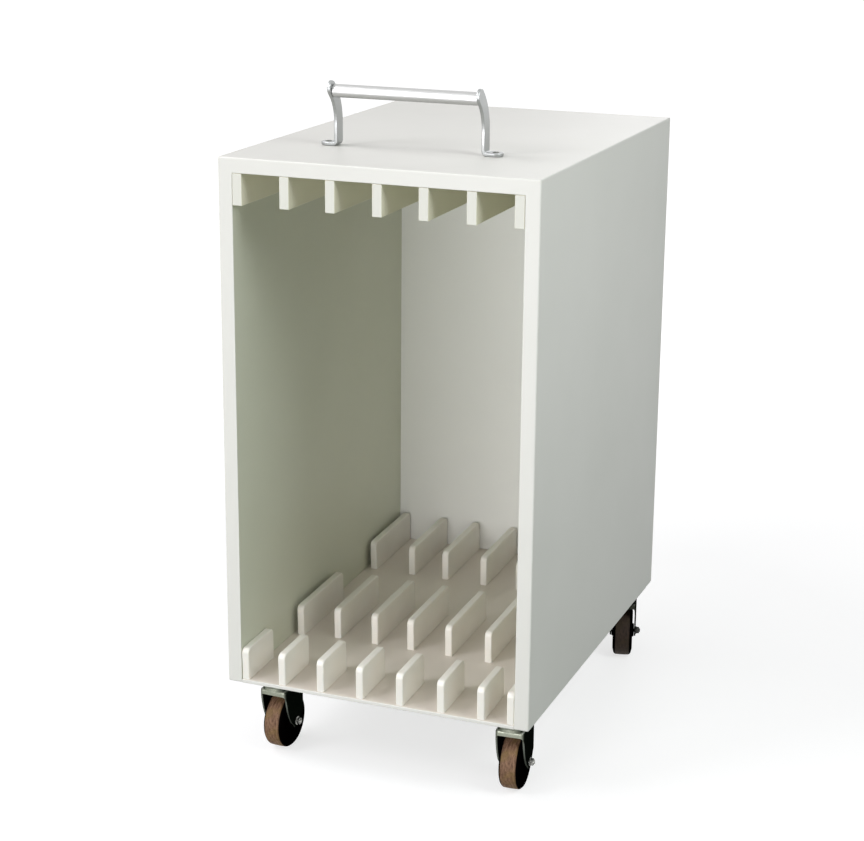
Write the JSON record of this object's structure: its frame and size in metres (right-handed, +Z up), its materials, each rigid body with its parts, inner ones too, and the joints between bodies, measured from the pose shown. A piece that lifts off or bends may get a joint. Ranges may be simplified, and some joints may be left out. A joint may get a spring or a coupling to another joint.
{
  "type": "stencil storage trolley",
  "caption": "White cabinet trolley, open at the front, with ceiling rails and floor dividers that hold framed stencils upright, on swivel casters, with a bar handle on top.",
  "frame": {"origin": "on the ground, under the middle of the whole object's box", "axes": "+Z up, -Y out of the open front, +X to the right as seen from the front"},
  "size_m": [0.4, 0.556, 0.8509],
  "materials": {
    "white_lacquer": "satin white lacquer on board",
    "white_rail": "matt white paint on wooden batten",
    "cream_fin": "matt cream white",
    "polished_steel": "satin chrome",
    "zinc_steel": "zinc plated",
    "bright_steel": "bright plated",
    "brown_phenolic": "mottled brown moulding, worn tread"
  },
  "bodies": {
    "cabinet": {"left_side_panel": "white_lacquer", "right_side_panel": "white_lacquer", "top_panel": "white_lacquer", "back_panel": "white_lacquer", "floor_panel": "white_lacquer", "top_rail_1": "white_rail", "top_rail_2": "white_rail", "top_rail_3": "white_rail", "top_rail_4": "white_rail", "top_rail_5": "white_rail", "top_rail_6": "white_rail", "top_rail_7": "white_rail", "divider_front_1": "cream_fin", "divider_front_2": "cream_fin", "divider_front_3": "cream_fin", "divider_front_4": "cream_fin", "divider_front_5": "cream_fin", "divider_front_6": "cream_fin", "divider_front_7": "cream_fin", "divider_front_8": "cream_fin", "divider_middle_1": "cream_fin", "divider_middle_2": "cream_fin", "divider_middle_3": "cream_fin", "divider_middle_4": "cream_fin", "divider_middle_5": "cream_fin", "divider_middle_6": "cream_fin", "divider_middle_7": "cream_fin", "divider_middle_8": "cream_fin", "divider_back_1": "cream_fin", "divider_back_2": "cream_fin", "divider_back_3": "cream_fin", "divider_back_4": "cream_fin", "divider_back_5": "cream_fin", "divider_back_6": "cream_fin", "divider_back_7": "cream_fin", "divider_back_8": "cream_fin", "handle_bracket_left": "polished_steel", "handle_bracket_right": "polished_steel", "handle_tube": "polished_steel", "caster_front_left_plate": "zinc_steel", "caster_front_right_plate": "zinc_steel", "caster_rear_left_plate": "zinc_steel", "caster_rear_right_plate": "zinc_steel"},
    "fork_front_left": {"caster_front_left_fork": "zinc_steel", "caster_front_left_axle_bolt": "bright_steel", "caster_front_left_axle_nut": "bright_steel"},
    "wheel_front_left": {"caster_front_left_wheel": "brown_phenolic"},
    "fork_front_right": {"caster_front_right_fork": "zinc_steel", "caster_front_right_axle_bolt": "bright_steel", "caster_front_right_axle_nut": "bright_steel"},
    "wheel_front_right": {"caster_front_right_wheel": "brown_phenolic"},
    "fork_rear_left": {"caster_rear_left_fork": "zinc_steel", "caster_rear_left_axle_bolt": "bright_steel", "caster_rear_left_axle_nut": "bright_steel"},
    "wheel_rear_left": {"caster_rear_left_wheel": "brown_phenolic"},
    "fork_rear_right": {"caster_rear_right_fork": "zinc_steel", "caster_rear_right_axle_bolt": "bright_steel", "caster_rear_right_axle_nut": "bright_steel"},
    "wheel_rear_right": {"caster_rear_right_wheel": "brown_phenolic"}
  },
  "joints": [
    {"name": "swivel_front_left", "type": "hinge", "parent": "cabinet", "child": "fork_front_left", "pos_m": [-0.1532, -0.23498, 0.1054], "axis": [0, 0, 1], "continuous": true},
    {"name": "roll_front_left", "type": "hinge", "parent": "fork_front_left", "child": "wheel_front_left", "pos_m": [-0.15235, -0.2163, 0.0358], "axis": [0.999, -0.0454, 0], "continuous": true},
    {"name": "swivel_front_right", "type": "hinge", "parent": "cabinet", "child": "fork_front_right", "pos_m": [0.1645, -0.23498, 0.1054], "axis": [0, 0, 1], "continuous": true},
    {"name": "roll_front_right", "type": "hinge", "parent": "fork_front_right", "child": "wheel_front_right", "pos_m": [0.16346, -0.21631, 0.0358], "axis": [0.9984, 0.0558, 0], "continuous": true},
    {"name": "swivel_rear_left", "type": "hinge", "parent": "cabinet", "child": "fork_rear_left", "pos_m": [-0.166, 0.22252, 0.1054], "axis": [0, 0, 1], "continuous": true},
    {"name": "roll_rear_left", "type": "hinge", "parent": "fork_rear_left", "child": "wheel_rear_left", "pos_m": [-0.1686, 0.24104, 0.0358], "axis": [0.9903, 0.1392, 0], "continuous": true},
    {"name": "swivel_rear_right", "type": "hinge", "parent": "cabinet", "child": "fork_rear_right", "pos_m": [0.1722, 0.22252, 0.1054], "axis": [0, 0, 1], "continuous": true},
    {"name": "roll_rear_right", "type": "hinge", "parent": "fork_rear_right", "child": "wheel_rear_right", "pos_m": [0.1673, 0.24057, 0.0358], "axis": [0.965, 0.2622, 0], "continuous": true}
  ]
}
